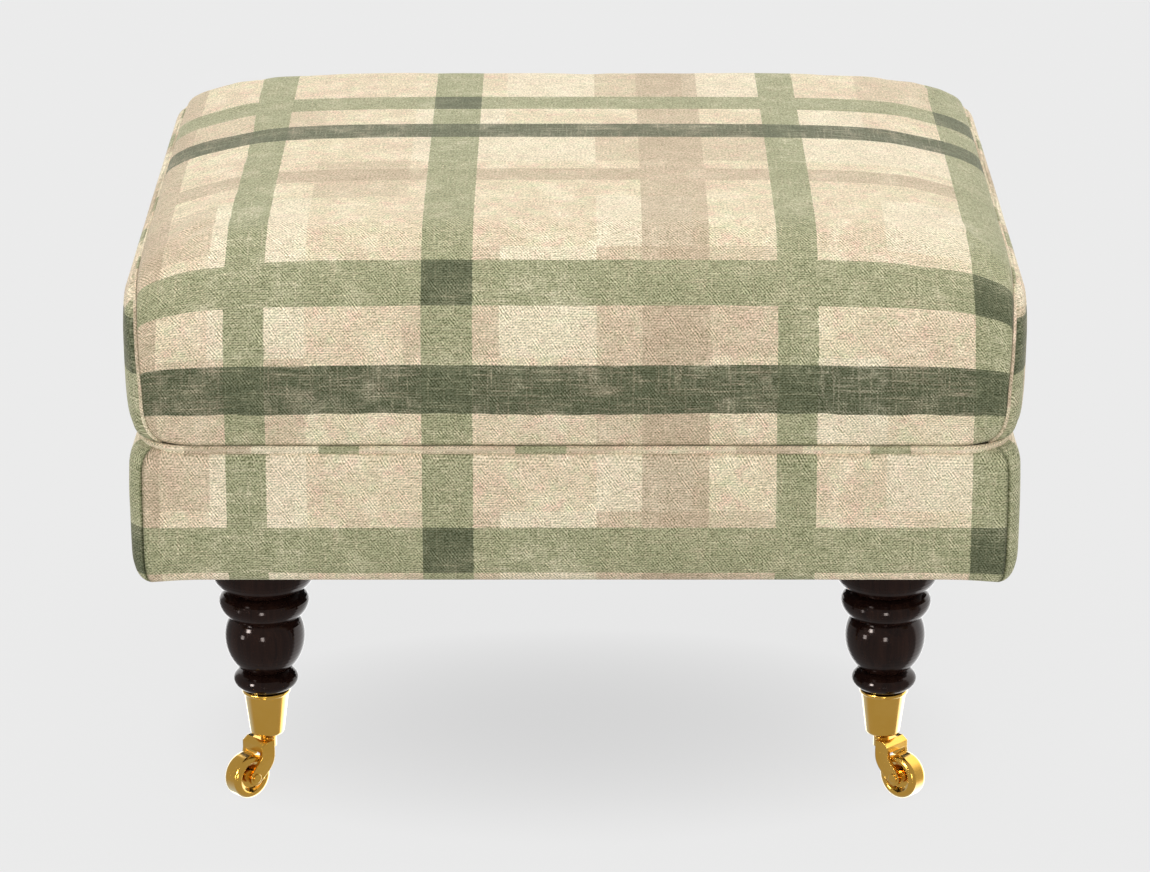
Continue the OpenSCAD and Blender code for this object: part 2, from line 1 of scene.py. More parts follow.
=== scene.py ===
import bpy
import math
import numpy as np
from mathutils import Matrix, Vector

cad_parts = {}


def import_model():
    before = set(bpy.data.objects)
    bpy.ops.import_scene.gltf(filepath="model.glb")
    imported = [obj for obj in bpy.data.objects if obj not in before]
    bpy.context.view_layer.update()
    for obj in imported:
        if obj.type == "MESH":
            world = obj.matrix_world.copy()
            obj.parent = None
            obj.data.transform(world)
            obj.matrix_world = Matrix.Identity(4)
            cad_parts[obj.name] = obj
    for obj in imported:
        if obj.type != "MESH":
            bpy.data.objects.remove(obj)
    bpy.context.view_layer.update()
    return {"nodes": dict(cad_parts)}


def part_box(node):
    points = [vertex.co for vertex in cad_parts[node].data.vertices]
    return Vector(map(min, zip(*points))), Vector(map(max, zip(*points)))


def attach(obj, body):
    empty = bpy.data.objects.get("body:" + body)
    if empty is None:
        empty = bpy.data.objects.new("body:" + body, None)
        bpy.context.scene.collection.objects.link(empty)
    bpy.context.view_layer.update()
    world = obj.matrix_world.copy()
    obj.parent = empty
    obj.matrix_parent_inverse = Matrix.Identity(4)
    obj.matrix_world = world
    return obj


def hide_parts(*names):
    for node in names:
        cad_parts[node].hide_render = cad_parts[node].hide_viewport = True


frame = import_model()
scene = bpy.context.scene
MM = 0.001


# Node trees

class Nodes:
    """Short calls that make the nodes of one tree."""

    def __init__(self, owner):
        owner.use_nodes = True
        self.tree = owner.node_tree
        self.tree.nodes.clear()

    def node(self, kind, **settings):
        n = self.tree.nodes.new(kind)
        for key, value in settings.items():
            setattr(n, key, value)
        return n

    def feed(self, socket, value):
        """Links a socket, or sets a number or colour on it."""
        if isinstance(value, bpy.types.NodeSocket):
            self.tree.links.new(value, socket)
        elif isinstance(value, (tuple, list)) and len(value) == 3 and socket.type == "RGBA":
            socket.default_value = (*value, 1)
        else:
            socket.default_value = value

    def feed_first(self, node, *values):
        """Feeds a node's first inputs, and returns its first output."""
        for socket, value in zip(node.inputs, values):
            self.feed(socket, value)
        return node.outputs[0]

    def math(self, op, a, b=0.0, c=0.0):
        return self.feed_first(self.node("ShaderNodeMath", operation=op), a, b, c)

    def times(self, a, b):
        return self.math("MULTIPLY", a, b)

    def plus(self, a, b):
        return self.math("ADD", a, b)

    def minus(self, a, b):
        return self.math("SUBTRACT", a, b)

    def larger(self, a, b):
        return self.math("MAXIMUM", a, b)

    def scaled(self, value, factor, added):
        """value * factor + added"""
        return self.math("MULTIPLY_ADD", value, factor, added)

    def mix(self, fac, a, b, blend="MIX"):
        n = self.node("ShaderNodeMix", data_type="RGBA", blend_type=blend)
        self.feed(n.inputs[0], fac)
        self.feed(n.inputs[6], a)
        self.feed(n.inputs[7], b)
        return n.outputs[2]

    def range(self, value, low, high, to_low=0.0, to_high=1.0, smooth=False):
        curve = "SMOOTHSTEP" if smooth else "LINEAR"
        n = self.node("ShaderNodeMapRange", interpolation_type=curve)
        return self.feed_first(n, value, low, high, to_low, to_high)

    def xyz(self, x, y, z):
        return self.feed_first(self.node("ShaderNodeCombineXYZ"), x, y, z)

    def split(self, vector):
        n = self.node("ShaderNodeSeparateXYZ")
        self.feed(n.inputs[0], vector)
        return n.outputs

    def noise(self, vector, scale, detail, rough, distort=0.0):
        n = self.node("ShaderNodeTexNoise")
        self.feed(n.inputs["Vector"], vector)
        n.inputs["Scale"].default_value = scale
        n.inputs["Detail"].default_value = detail
        n.inputs["Roughness"].default_value = rough
        n.inputs["Distortion"].default_value = distort
        return n.outputs[0]

    def random(self, vector):
        n = self.node("ShaderNodeTexWhiteNoise", noise_dimensions="3D")
        self.feed(n.inputs["Vector"], vector)
        return n.outputs["Value"]

    def uv(self, name):
        return self.node("ShaderNodeUVMap", uv_map=name).outputs[0]

    def place(self):
        return self.node("ShaderNodeTexCoord").outputs["Object"]

    def blend(self, fac, a, b):
        """Mixes two shaders."""
        return self.feed_first(self.node("ShaderNodeMixShader"), fac, a, b)


class Shade(Nodes):
    """A material with one Principled shader."""

    def __init__(self, name):
        self.mat = bpy.data.materials.new(name)
        super().__init__(self.mat)
        out = self.node("ShaderNodeOutputMaterial")
        self.bsdf = self.node("ShaderNodeBsdfPrincipled")
        self.feed(out.inputs["Surface"], self.bsdf.outputs[0])

    def set(self, **values):
        for key, value in values.items():
            self.feed(self.bsdf.inputs[key.replace("_", " ")], value)

    def toned(self, colour, tone):
        """A colour made lighter or darker by a tone round 1."""
        return self.mix(1.0, colour, self.xyz(tone, tone, tone), "MULTIPLY")

    def bump(self, height, strength, distance, normal=None):
        n = self.node("ShaderNodeBump")
        if normal is not None:
            self.feed(n.inputs["Normal"], normal)
        n.inputs["Strength"].default_value = strength
        n.inputs["Distance"].default_value = distance
        self.feed(n.inputs["Height"], height)
        self.feed(self.bsdf.inputs["Normal"], n.outputs[0])


# Materials

CREAM = (0.71, 0.622, 0.43)
PINKISH = (0.69, 0.56, 0.40)
PALE = (0.79, 0.715, 0.54)
TAN = (0.47, 0.365, 0.25)
ROSY = (0.7, 0.5, 0.38)
LEAFY = (0.62, 0.62, 0.4)
SAGE = (0.32, 0.325, 0.188)
DARK = (0.1, 0.112, 0.062)

# One repeat of the print in metres, and the middle and width of its bands
REPEAT_U, REPEAT_V = 0.41, 0.38
SAGE_U, THIN_SAGE_U, SAGE_V = (-0.095, 0.038), (0.165, 0.03), (0.128, 0.038)
TAN_U, TAN_V = (0.075, 0.05), (-0.075, 0.03)
DARK_V = (0.045, 0.038)
BLOCK_U, BLOCK_V = 0.072, 0.09
BAND_WAVER = 0.0016
# How far from a seam the painted crease shade reaches, in metres
SEAM_SHADE_REACH = 0.0022


def linen(name, painted_seam_shade=True):
    """Slubby linen twill, printed with a large check of straight bands that cross."""
    s = Shade(name)
    u, v, _ = s.split(s.uv("cloth"))

    def threads(per_u, per_v, seed, detail, rough):
        """Noise drawn out along the threads, with so many cells per metre each way."""
        return s.noise(s.xyz(s.times(u, per_u), s.times(v, per_v), seed), 1.0, detail, rough)

    def spots(per_metre, seed, detail, rough):
        """Noise with so many cells per metre."""
        return s.noise(s.xyz(u, v, seed), per_metre, detail, rough)

    def rib(per_u, per_v):
        """Ridges of the weave, so many per metre each way. They sway a little."""
        turns = s.scaled(u, per_u * 2 * math.pi, s.scaled(v, per_v * 2 * math.pi, sway))
        return s.math("SINE", turns)

    def bar(value, band):
        """1 within a band of the print."""
        middle, width = band
        return s.math("COMPARE", value, middle, width / 2)

    weft = threads(110.0, 1000.0, 0.0, 2.0, 0.6)
    warp = threads(1000.0, 110.0, 3.0, 2.0, 0.6)
    slub = threads(20.0, 260.0, 8.0, 3.0, 0.6)
    grit = spots(560.0, 7.0, 2.0, 0.7)
    cloud = spots(14.0, 1.0, 3.0, 0.55)
    blot = spots(38.0, 9.0, 3.0, 0.6)
    sway = s.times(spots(150.0, 5.0, 2.0, 0.5), 4.0)

    # The unprinted ground, with small flecks of other yarns
    colour = s.mix(s.range(cloud, 0.35, 0.65), CREAM, PINKISH)
    colour = s.mix(s.range(blot, 0.5, 0.75, 0.0, 0.55), colour, PALE)
    colour = s.mix(s.range(slub, 0.52, 0.75, 0.0, 0.4), colour, TAN)
    fleck = spots(75.0, 12.0, 3.0, 0.65)
    colour = s.mix(s.range(fleck, 0.53, 0.66, 0.0, 0.6), colour, ROSY)
    colour = s.mix(s.range(fleck, 0.46, 0.34, 0.0, 0.55), colour, LEAFY)

    # Thread by thread, the edges of the print waver a little
    eu = s.plus(u, s.times(s.minus(weft, 0.5), BAND_WAVER))
    ev = s.plus(v, s.times(s.minus(warp, 0.5), BAND_WAVER))
    # It is worn in long streaks along the threads, both ways, and in blots
    lying = s.range(threads(26.0, 520.0, 4.0, 3.0, 0.65), 0.49, 0.74, 0.0, 0.42)
    standing = s.range(threads(520.0, 26.0, 6.0, 3.0, 0.65), 0.5, 0.75, 0.0, 0.36)
    worn = s.plus(s.larger(lying, standing), s.range(blot, 0.5, 0.75, 0.0, 0.22))
    ink = s.minus(1.0, worn)
    # Tone on tone blocks, from a coarse chequer of random shades
    block_u = s.math("FLOOR", s.times(s.plus(eu, 2.0), 1 / BLOCK_U))
    block_v = s.math("FLOOR", s.times(s.plus(ev, 2.0), 1 / BLOCK_V))
    shade = s.random(s.xyz(block_u, block_v, 2.0))
    colour = s.mix(s.times(s.math("GREATER_THAN", shade, 0.82), 0.45), colour, PALE)
    colour = s.mix(s.times(s.math("LESS_THAN", shade, 0.22), 0.38), colour, TAN)
    # Straight bands
    ru = s.math("WRAP", eu, REPEAT_U / 2, -REPEAT_U / 2)
    rv = s.math("WRAP", ev, REPEAT_V / 2, -REPEAT_V / 2)
    sage_u, sage_v = bar(ru, SAGE_U), bar(rv, SAGE_V)
    sage = s.larger(s.larger(sage_u, bar(ru, THIN_SAGE_U)), sage_v)
    dark = s.larger(s.times(sage_u, sage_v), bar(rv, DARK_V))
    tan = s.times(s.larger(bar(ru, TAN_U), bar(rv, TAN_V)), s.minus(1.0, dark))
    colour = s.mix(s.times(s.times(tan, ink), 0.72), colour, TAN)
    colour = s.mix(s.times(sage, ink), colour, SAGE)
    colour = s.mix(s.times(dark, ink), colour, DARK)

    tone = s.times(s.minus(weft, 0.5), 0.9)
    tone = s.scaled(s.minus(warp, 0.5), 0.5, tone)
    tone = s.scaled(s.minus(grit, 0.5), 1.7, tone)
    # Diagonals of the twill show in patches, and rows of the weft between them, in dashes.
    # One more diagonal crosses them.
    twill, fine = rib(350.0, 262.0), rib(424.0, 300.0)
    cross, row = rib(295.0, -390.0), rib(13.0, 530.0)
    patch = s.range(spots(62.0, 15.0, 3.0, 0.6), 0.4, 0.6)
    dash = s.range(spots(230.0, 21.0, 2.0, 0.6), 0.38, 0.62, 0.35, 1.1)
    lines = s.times(twill, s.scaled(patch, 0.1, 0.03))
    lines = s.scaled(fine, s.scaled(patch, 0.26, 0.06), lines)
    lines = s.scaled(row, s.scaled(patch, -0.14, 0.2), lines)
    tone = s.scaled(lines, dash, tone)
    tone = s.scaled(cross, 0.13, tone)
    tone = s.scaled(s.minus(blot, 0.5), 0.25, tone)
    # The weave shows more in the print
    tone = s.times(tone, s.scaled(s.larger(sage, dark), 0.4, 1.2))
    tone = s.larger(s.plus(tone, 1.0), 0.3)
    if painted_seam_shade:
        # Painted shade: within 2 mm of a seam, where the cloth turns in, it is a little darker
        to_seam = s.split(s.uv("seam"))[0]
        tone = s.times(tone, s.range(to_seam, 0.0, SEAM_SHADE_REACH, 0.6, 1.0))
    # Dark threads are a little yellower than light ones
    green = s.scaled(s.minus(tone, 1.0), 0.96, 1.0)
    blue = s.scaled(s.minus(tone, 1.0), 1.12, 1.0)
    colour = s.mix(1.0, colour, s.xyz(tone, green, blue), "MULTIPLY")
    s.set(Base_Color=colour, Roughness=0.86, Specular_IOR_Level=0.25)
    s.set(Sheen_Weight=0.17, Sheen_Roughness=0.45, Sheen_Tint=(1.0, 0.94, 0.8, 1.0))
    s.bump(s.scaled(twill, 0.25, s.plus(weft, warp)), 0.35, 0.0004)
    return s.mat


def cloth(name, base, tint, scale):
    """Plain woven or spun cloth."""
    s = Shade(name)
    x, y, z = s.split(s.place())
    across = s.math("SINE", s.times(s.plus(x, z), scale * math.pi))
    along = s.math("SINE", s.times(y, scale * math.pi))
    weave = s.times(across, along)
    fleck = s.noise(s.place(), scale, 3.0, 0.6)
    colour = s.mix(s.range(fleck, 0.3, 0.7), base, tint)
    s.set(Base_Color=s.toned(colour, s.scaled(weave, 0.14, 0.95)))
    s.set(Roughness=0.9, Specular_IOR_Level=0.2)
    s.bump(s.plus(weave, fleck), 0.4, 0.0004)
    return s.mat


# Cells of the noise per metre, and how much finer the pores are
ALONG_GRAIN, ACROSS_GRAIN, PORES = 9.0, 170.0, 5.0


def timber(name, base, dark, axis, stain=False):
    """Planed or turned wood with its grain along an axis. Stained wood is varnished too."""
    s = Shade(name)
    stretch = [ALONG_GRAIN if n == axis else ACROSS_GRAIN for n in range(3)]
    at = [s.times(p, k) for p, k in zip(s.split(s.place()), stretch)]
    grain = s.noise(s.xyz(*at), 1.0, 4.0, 0.62, 0.6)
    pores = s.noise(s.xyz(*[s.times(p, PORES) for p in at]), 1.0, 2.0, 0.6)
    cloud = s.noise(s.place(), 22.0, 3.0, 0.5)
    colour = s.mix(s.range(grain, 0.33, 0.68), dark, base)
    colour = s.mix(s.range(pores, 0.56, 0.72, 0.0, 0.7), colour, dark)
    s.set(Base_Color=s.toned(colour, s.scaled(s.minus(cloud, 0.5), 0.5, 1.0)))
    if stain:
        facing = s.node("ShaderNodeLayerWeight").outputs["Facing"]
        varnish = s.range(facing, 0.35, 0.75, 0.22, 0.02)
        s.set(Roughness=s.range(grain, 0.3, 0.7, 0.1, 0.13))
        s.set(Specular_IOR_Level=0.1, Specular_Tint=(1.0, 0.7, 0.58, 1.0))
        s.set(Coat_Weight=varnish, Coat_Roughness=0.1, Coat_IOR=1.5)
        s.bump(pores, 0.12, 0.0002)
    else:
        s.set(Roughness=0.62, Specular_IOR_Level=0.35)
        s.bump(s.plus(grain, pores), 0.3, 0.0003)
    return s.mat


EDGE_RADIUS = 0.0007
MARKS = 0.12


def metal(name, base, worn, painted_rim_light, rough):
    """Turned metal with faint tool and handling marks and slightly rounded edges, which are
    brighter from a painted reflection at grazing angles.
    """
    s = Shade(name)
    soft = s.node("ShaderNodeBevel", samples=8)
    soft.inputs["Radius"].default_value = EDGE_RADIUS
    weight = s.node("ShaderNodeLayerWeight")
    weight.inputs["Blend"].default_value = 0.5
    s.feed(weight.inputs["Normal"], soft.outputs[0])
    where = s.place()
    haze = s.noise(where, 60.0, 3.0, 0.6)
    x, y, z = s.split(where)
    rings = s.xyz(s.times(x, 120.0), s.times(y, 120.0), s.times(z, 2600.0))
    lathe = s.noise(rings, 1.0, 2.0, 0.5)
    fine = s.noise(where, 900.0, 2.0, 0.5)
    colour = s.mix(s.range(haze, 0.4, 0.7, 0.0, 0.5), base, worn)
    # Painted reflection: towards grazing angles, most of all at the rounded edges, the colour
    # turns to a bright rim colour
    colour = s.mix(s.range(weight.outputs["Facing"], 0.4, 0.68, 0.0, 0.95), colour, painted_rim_light)
    marked = s.scaled(s.minus(lathe, 0.5), MARKS, rough)
    marked = s.scaled(s.minus(haze, 0.5), MARKS, marked)
    s.set(Base_Color=colour, Metallic=1.0, Roughness=marked)
    s.bump(s.plus(lathe, fine), 0.06, 0.0002, soft.outputs[0])
    return s.mat


def foam():
    """Open-celled foam."""
    s = Shade("foam")
    cells = s.noise(s.place(), 900.0, 3.0, 0.7)
    colour = s.mix(s.range(cells, 0.35, 0.65), (0.62, 0.55, 0.34), (0.86, 0.8, 0.58))
    s.set(Base_Color=colour, Roughness=0.95, Specular_IOR_Level=0.1)
    s.bump(cells, 0.8, 0.0006)
    return s.mat


PRINT = linen("printed_linen")
PIPING = linen("piping_linen", painted_seam_shade=False)
BLACK = cloth("black_spun_cloth", (0.012, 0.012, 0.014), (0.03, 0.03, 0.034), 900.0)
HESSIAN = cloth("hessian_weave", (0.36, 0.25, 0.13), (0.52, 0.4, 0.24), 260.0)
JUTE = cloth("jute_webbing", (0.25, 0.16, 0.08), (0.42, 0.29, 0.16), 420.0)
FOAM = foam()
BEECH = [timber(f"beech_{word}", (0.66, 0.48, 0.29), (0.5, 0.33, 0.18), axis)
         for axis, word in enumerate("xyz")]
WENGE = timber("dark_stained_wood", (0.018, 0.0075, 0.005), (0.007, 0.003, 0.0025), 2, True)
BRASS = metal("satin_brass", (0.74, 0.42, 0.075), (0.8, 0.48, 0.11), (1.0, 0.86, 0.5), 0.17)
STEEL = metal("zinc_steel", (0.55, 0.55, 0.56), (0.66, 0.66, 0.66), (0.8, 0.8, 0.8), 0.33)


# What the rigid nodes are made of, by how their names start: the first that fits counts
RIGID = {"leg_bolts": STEEL, "leg_tee_nuts": STEEL, "leg_": WENGE, "cup_": BRASS,
         "horn_": BRASS, "axle_": BRASS, "wheel_": BRASS, "swivel_": BRASS,
         "rail_front": BEECH[0], "rail_back": BEECH[0], "rail_": BEECH[1],
         "corner_blocks": BEECH[2]}

for node in frame["nodes"]:
    material = next((m for start, m in RIGID.items() if node.startswith(start)), None)
    if material:
        mesh = frame["nodes"][node].data
        mesh.materials.clear()
        mesh.materials.append(material)


# Meshes from grids of points, in millimetres

def box_mm(node):
    """Low and high corner of a node's box in millimetres."""
    return [np.array(corner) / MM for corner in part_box(node)]


def add_piece(name, points, faces, material, smooth=True, **layers):
    """A mesh object from points in millimetres, with UV layers in millimetres."""
    mesh = bpy.data.meshes.new(name)
    mesh.from_pydata([tuple(p) for p in np.asarray(points) * MM], [], faces)
    corner = np.zeros(len(mesh.loops), np.int32)
    mesh.loops.foreach_get("vertex_index", corner)
    for key, values in layers.items():
        layer = mesh.uv_layers.new(name=key)
        uvs = (np.asarray(values)[corner] * MM).astype(np.float32)
        layer.data.foreach_set("uv", uvs.ravel())
    mesh.polygons.foreach_set("use_smooth", [smooth] * len(mesh.polygons))
    mesh.materials.append(material)
    mesh.update()
    piece = bpy.data.objects.new(name, mesh)
    scene.collection.objects.link(piece)
    return piece


def stand_in(piece, node):
    """Puts a piece in the place of a CAD node, on the stool's body."""
    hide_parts(node)
    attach(piece, "stool")


def grid_faces(m, n, closed_m=False, closed_n=False, flip=False, start=0):
    """Faces of a grid of m by n points, open or closed each way."""
    faces = []
    for i in range(m if closed_m else m - 1):
        for k in range(n if closed_n else n - 1):
            i_next, k_next = (i + 1) % m, (k + 1) % n
            a, b = start + i * n + k, start + i * n + k_next
            c, d = start + i_next * n + k_next, start + i_next * n + k
            faces.append((a, d, c, b) if flip else (a, b, c, d))
    return faces


def end_caps(m, n):
    """The first and the last of m rings of n points, as faces."""
    return [tuple(range(n))[::-1], tuple(range((m - 1) * n, m * n))]


def arc(points):
    """Length along a line of points, up to each of them."""
    return np.r_[0, np.cumsum(np.linalg.norm(np.diff(points, axis=0), axis=1))]


def ease(t):
    """From 0 to 1, fast at first."""
    return np.sin(np.clip(t, 0, 1) * np.pi / 2)


def to_edge(grid):
    """Distance of each point of a grid from its nearest edge, along the surface."""
    away = np.full(grid.shape[:2], np.inf)
    for axis in (0, 1):
        step = np.linalg.norm(np.diff(grid, axis=axis), axis=2)
        run = np.insert(np.cumsum(step, axis), 0, 0, axis)
        total = run[-1:] if axis == 0 else run[:, -1:]
        away = np.minimum(away, np.minimum(run, total - run))
    return away


FRAMES = 20


def run_cloth(points, faces, held, pressure, cap):
    """Blows a panel up between its held points. None of the points moves further than cap."""
    mesh = bpy.data.meshes.new("trial")
    mesh.from_pydata([tuple(p) for p in points * MM], [], faces)
    trial = bpy.data.objects.new("trial", mesh)
    scene.collection.objects.link(trial)
    group = trial.vertex_groups.new(name="held")
    group.add([int(i) for i in np.flatnonzero(held)], 1.0, "REPLACE")
    soft = trial.modifiers.new("cloth", "CLOTH")
    settings = soft.settings
    settings.quality = 4
    settings.mass = 0.25
    settings.tension_stiffness = settings.compression_stiffness = 12
    settings.shear_stiffness = 6
    settings.bending_stiffness = 1.5
    settings.vertex_group_mass = "held"
    settings.use_pressure = True
    settings.uniform_pressure_force = pressure
    settings.shrink_min = -0.012  # the cloth grows a little
    settings.effector_weights.gravity = 0
    soft.collision_settings.use_self_collision = False
    soft.collision_settings.use_collision = False
    soft.point_cache.frame_start, soft.point_cache.frame_end = 1, FRAMES
    for step in range(1, FRAMES + 1):
        scene.frame_set(step)
    graph = bpy.context.evaluated_depsgraph_get()
    moved = trial.evaluated_get(graph).to_mesh()
    result = np.zeros(len(points) * 3)
    moved.vertices.foreach_get("co", result)
    scene.frame_set(1)
    bpy.data.objects.remove(trial)
    shift = result.reshape(-1, 3) / MM - points
    length = np.linalg.norm(shift, axis=1, keepdims=True)
    return points + shift * np.minimum(1.0, cap / np.maximum(length, 1e-9))


SEAM_REACH = 24.0


def soften(grid, pressure, cap, flip, held_rows=1):
    """Points and faces of a panel, and its distances from a seam. Near the seams it hardly
    moves."""
    points = grid.reshape(-1, 3)
    faces = grid_faces(*grid.shape[:2], flip=flip)
    away = to_edge(grid)
    seam = np.stack([away, np.zeros(away.shape)], -1).reshape(-1, 2)
    held = np.zeros(grid.shape[:2], bool)
    held[[0, -1]] = True
    held[:, :held_rows] = held[:, -held_rows:] = True
    moved = run_cloth(points, faces, held.ravel(), pressure, cap)
    near = np.clip(away.reshape(-1, 1) / SEAM_REACH, 0, 1)
    return points + (moved - points) * near * near * (3 - 2 * near), faces, seam


THICKNESS = 3.0


def thicken(piece):
    """Turns a panel into a closed pad of cloth and wadding behind its face."""
    sub = piece.modifiers.new("sub", "SUBSURF")
    sub.levels = sub.render_levels = 1
    sub.boundary_smooth = "PRESERVE_CORNERS"
    solid = piece.modifiers.new("solid", "SOLIDIFY")
    solid.thickness = THICKNESS * MM
    solid.offset = -1
    graph = bpy.context.evaluated_depsgraph_get()
    mesh = bpy.data.meshes.new_from_object(piece.evaluated_get(graph))
    piece.modifiers.clear()
    piece.data = mesh
    mesh.polygons.foreach_set("use_smooth", [True] * len(mesh.polygons))


def add_panel(name, node, panel, uvs):
    """A padded panel of printed cloth, from what soften returns, in the place of a CAD node."""
    points, faces, seam = panel
    piece = add_piece(name, points, faces, PRINT, cloth=uvs.reshape(-1, 2), seam=seam)
    thicken(piece)
    stand_in(piece, node)


# Seat pad: its outlines, and the wrap-over panel

pad_low, pad_high = box_mm("pad_wrap_cover")
_, side_high = box_mm("pad_side_right")
foot_z, top_z, pad_y = pad_low[2], pad_high[2], pad_high[1]
OUTWARD = 5.3  # from the side panel's box to the seam
seam_y, seam_z = side_high[1] + OUTWARD, side_high[2] + OUTWARD
SEAM_FOOT, SEAM_FRONT, SEAM_TOP = 319.0, 321.5, 328.5  # how far from the middle the seam runs
SIDE_BEND, MID_BEND = 66.0, 92.0  # radii of the outline at the seam and in the middle
CROWN = 5.0
DRAW = 6.2
SWELL = 2.0  # the simulation moves the wrap-over panel by so much at most,
GROWN = 1.5  # and so much of it is taken off its outline beforehand
HALF, STATIONS = 70, 60
FRONT_END, BEND_END = 0.14, 0.44  # shares of a half outline's points


def half_outline(depth, top, radius, draw=0.0, crown=0.0):
    """Half of a section through the pad, from the foot up and over to the middle of the top.
    draw: how far the foot is drawn in. crown: how much higher the middle is than the edge."""
    q = np.linspace(0, 1, HALF + 1)
    points = np.zeros((HALF + 1, 2))
    rise = top - radius - foot_z
    front = q <= FRONT_END
    t = q[front] / FRONT_END
    points[front] = np.c_[depth - draw * (1 - ease(t)), foot_z + rise * t]
    bend = (q > FRONT_END) & (q <= BEND_END)
    t = (q[bend] - FRONT_END) / (BEND_END - FRONT_END) * np.pi / 2
    points[bend] = np.c_[depth - radius + radius * np.cos(t), top - radius + radius * np.sin(t)]
    rest = q > BEND_END
    t = (q[rest] - BEND_END) / (1 - BEND_END)
    points[rest] = np.c_[(depth - radius) * (1 - t), np.full(t.shape, top)]
    height = (points[:, 1] - foot_z) / (top - foot_z)
    points[:, 1] += crown * (1 - (points[:, 0] / depth) ** 2) * height
    return points


def whole(half):
    """A half outline and its mirror image: up the front, over the top and down the back."""
    front = half.copy()
    front[:, 0] *= -1
    return np.vstack([front, half[-2::-1]])


OUTLINE_SIDE = whole(half_outline(seam_y, seam_z, SIDE_BEND))
OUTLINE_MID = whole(half_outline(pad_y - GROWN, top_z - CROWN - GROWN, MID_BEND,
                                 draw=DRAW - GROWN, crown=CROWN))
ROWS = len(OUTLINE_SIDE)

# Where each side seam runs, from its front foot over the top to its back foot
up = 1 - np.abs(np.linspace(-1, 1, ROWS))
LOW_SHARE, HIGH_SHARE = 0.12, 0.45
SEAM_X = np.where(up < LOW_SHARE,
                  SEAM_FOOT + (SEAM_FRONT - SEAM_FOOT) * ease(up / LOW_SHARE),
                  SEAM_FRONT + (SEAM_TOP - SEAM_FRONT) * ease((up - LOW_SHARE) / HIGH_SHARE))

FOOT_RADIUS, FOOT_FADE, FOOT_REACH, FOOT_LEAN = 36.0, 9.2, 45.0, 48.0


def round_foot(points, more=0.0):
    """Rounds the pad's lower corners, seen from above: widely at the foot and less above it."""
    points = np.array(points)
    size = np.abs(points[..., :2])
    height = points[..., 2] - foot_z
    radius = (FOOT_RADIUS + more) * np.exp(-np.maximum(height, 0) / FOOT_FADE)
    radius = np.maximum(radius, 0.01)
    wide = SEAM_FOOT + (SEAM_FRONT - SEAM_FOOT) * ease(height / FOOT_LEAN)
    past = size - np.stack([wide - radius, seam_y - radius], -1)
    length = np.maximum(np.linalg.norm(past, axis=-1, keepdims=True), 1e-9)
    new = past / length * past.max(-1, keepdims=True)
    inside = (past.min(-1) > 0) & (height < FOOT_REACH)
    points[..., :2] += np.where(inside[..., None], np.sign(points[..., :2]) * (new - past), 0)
    return points


# Powers: how the sections crowd towards the seams, and how the pad falls off towards them
CROWDING, FALL, SHOULDER = 1.7, 4.6, 0.395


def sections(side, middle, count, half_width):
    """Outlines next to each other, more densely towards both seams, where the outline of the
    middle goes over into the outline of the side."""
    i = np.linspace(-1, 1, count)
    r = 1 - (1 - np.abs(i)) ** CROWDING
    full = np.clip(1 - r ** FALL, 0, 1) ** SHOULDER
    grid = np.zeros((count, ROWS, 3))
    for n in range(count):
        grid[n, :, 0] = np.sign(i[n]) * r[n] * half_width
        grid[n, :, 1:] = side + (middle - side) * full[n]
    return grid


INSET = 1.2  # from the seam to a panel's edge

grid = round_foot(sections(OUTLINE_SIDE, OUTLINE_MID, 2 * STATIONS + 1, SEAM_X - INSET))
across = np.zeros(grid.shape[:2])
for k in range(ROWS):
    run = arc(grid[:, k])
    across[:, k] = run - run[STATIONS]
uvs = np.stack([across, np.broadcast_to(arc(OUTLINE_MID), across.shape)], -1)
panel = soften(grid, pressure=3.0, cap=SWELL, flip=True, held_rows=3)
add_panel("wrap_panel", "pad_wrap_cover", panel, uvs)


# Seat pad: side panels

COLUMNS, SIDE_ROWS = 121, 41
FULL_INSET = 1.6  # from the node's box to the fullest point
PRINT_SHIFT = (40, -30)


def side_points(side):
    """Side panel: columns follow the seam, rows run from the foot up, and the middle swells."""
    a, radius, top = seam_y - INSET, SIDE_BEND - INSET, seam_z - INSET
    grid = np.zeros((COLUMNS, SIDE_ROWS, 3))
    ys = a * np.sin(np.linspace(-1, 1, COLUMNS) * np.pi / 2)
    t = (1 - np.cos(np.linspace(0, np.pi, SIDE_ROWS))) / 2
    seam_x = np.interp(np.abs(ys), [0, 200, 245, 284],
                       [SEAM_TOP, SEAM_TOP - 0.8, SEAM_TOP - 3.0, SEAM_FRONT])
    for n, y in enumerate(ys):
        reach = max(0.0, abs(y) - (a - radius))
        rise = top - radius + math.sqrt(max(0.0, radius ** 2 - reach ** 2))
        z = foot_z + (rise - foot_z) * t
        # The seam line leans out with height, and the panel swells from it
        lean = SEAM_FOOT + (seam_x[n] - SEAM_FOOT) * ease((z - foot_z) / (top - foot_z))
        swell = np.sqrt((1 - (abs(y) / a) ** 10) * (1 - (1 - t) ** 7) * (1 - t ** 18))
        full = side_high[0] - FULL_INSET - lean
        grid[n, :, 0] = side * (lean + INSET * (1 - swell) + full * swell)
        grid[n, :, 1] = y
        grid[n, :, 2] = z
    return round_foot(grid)


SIDES = ((-1, "left"), (1, "right"))

for side, word in SIDES:
    grid = side_points(side)
    uvs = np.stack([grid[..., 1] * side, grid[..., 2] - foot_z], -1) + PRINT_SHIFT
    panel = soften(grid, pressure=2.0, cap=1.0, flip=side > 0)
    add_panel(f"side_panel_{word}", f"pad_side_{word}", panel, uvs)


# Piping

TUBE_SIDES = 14
SEAM_CORD, SEAM_DEPTH, DEPTH_RISE = 1.45, 1.0, 60.0
JOINT_CORNER, JOINT_SHIFT, JOINT_DROP, JOINT_GROWN = 34.0, 2.6, 0.4, 0.1


